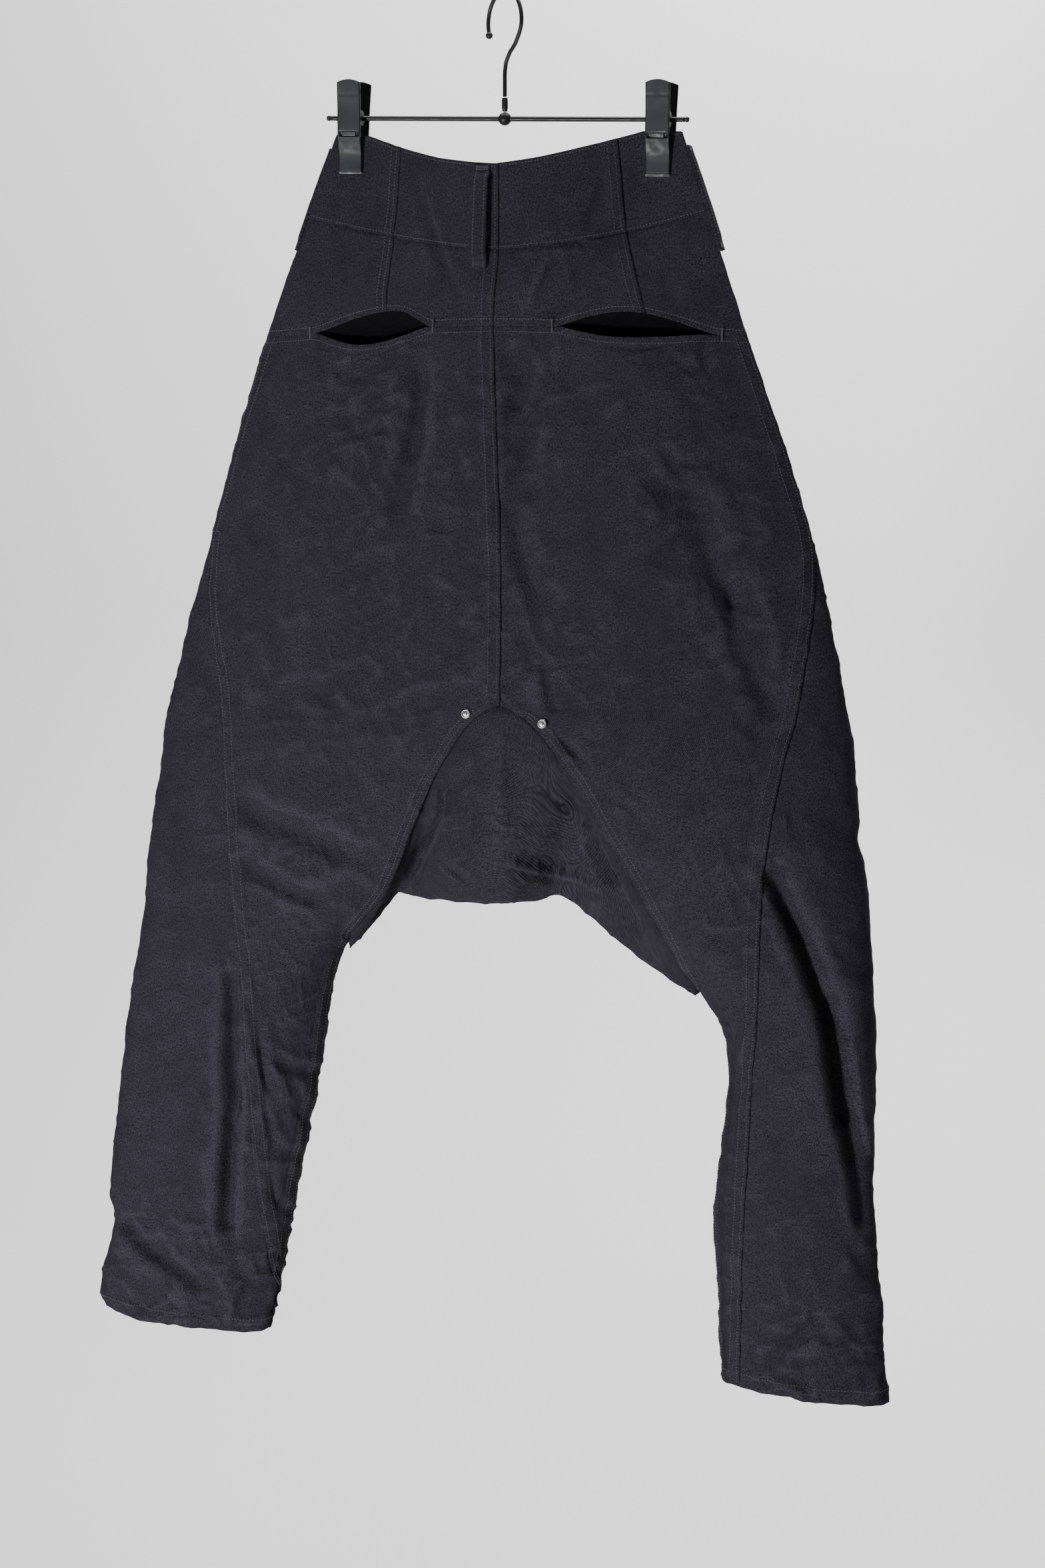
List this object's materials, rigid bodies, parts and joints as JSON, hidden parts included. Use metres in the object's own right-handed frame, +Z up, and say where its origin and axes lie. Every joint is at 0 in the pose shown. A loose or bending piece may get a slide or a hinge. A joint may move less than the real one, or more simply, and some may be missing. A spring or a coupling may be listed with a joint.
{
  "type": "harem pants on a clip hanger",
  "caption": "Drop-crotch denim harem pants with a high shaped waistband, yoke, slit pockets and hanging crotch gusset, held by the waist from a black clip hanger.",
  "frame": {"origin": "the inside top of the hanger's hook, where a rail carries it", "axes": "+Z up; +X along the hanger's bar, to the right when the garment's back is looked at; the garment's back faces -Y and its front +Y"},
  "size_m": [0.7211, 0.1361, 1.1654],
  "materials": {
    "denim": "matte indigo-black cotton twill",
    "pocketing": "matte black plain weave",
    "rivet_metal": "satin silver",
    "button_metal": "dark satin metal",
    "hanger_black": "satin black coating",
    "clip_grey": "satin dark grey coating",
    "clip_silver": "bright silver"
  },
  "bodies": {
    "root": {"back_panel_left": "denim", "back_panel_right": "denim", "front_panel_left": "denim", "front_panel_right": "denim", "yoke_centre_left": "denim", "yoke_centre_right": "denim", "yoke_side_left": "denim", "yoke_side_right": "denim", "waistband_back_centre_left": "denim", "waistband_back_centre_right": "denim", "waistband_back_side_left": "denim", "waistband_back_side_right": "denim", "waistband_front_left": "denim", "waistband_front_right": "denim", "belt_loop_front_left": "denim", "belt_loop_front_right": "denim", "belt_loop_side_left": "denim", "belt_loop_side_right": "denim", "crotch_gusset": "denim", "belt_loop_back": "denim", "fly_facing": "denim", "pocket_bag_left": "pocketing", "pocket_bag_right": "pocketing", "rivet_left": "rivet_metal", "rivet_right": "rivet_metal", "waist_button": "button_metal", "hanger_bar": "hanger_black", "bar_knob_left": "hanger_black", "bar_knob_right": "hanger_black", "swivel_ball": "hanger_black", "swivel_collar": "hanger_black", "hook": "hanger_black", "hook_tip": "hanger_black", "clip_pivot_left": "hanger_black", "clip_pivot_right": "hanger_black", "clip_back_jaw_left": "hanger_black", "clip_back_jaw_right": "hanger_black", "clip_front_jaw_left": "clip_grey", "clip_front_jaw_right": "clip_grey", "clip_slot_left": "clip_silver", "clip_slot_right": "clip_silver", "clip_tip_left": "clip_silver", "clip_tip_right": "clip_silver"}
  },
  "joints": []
}
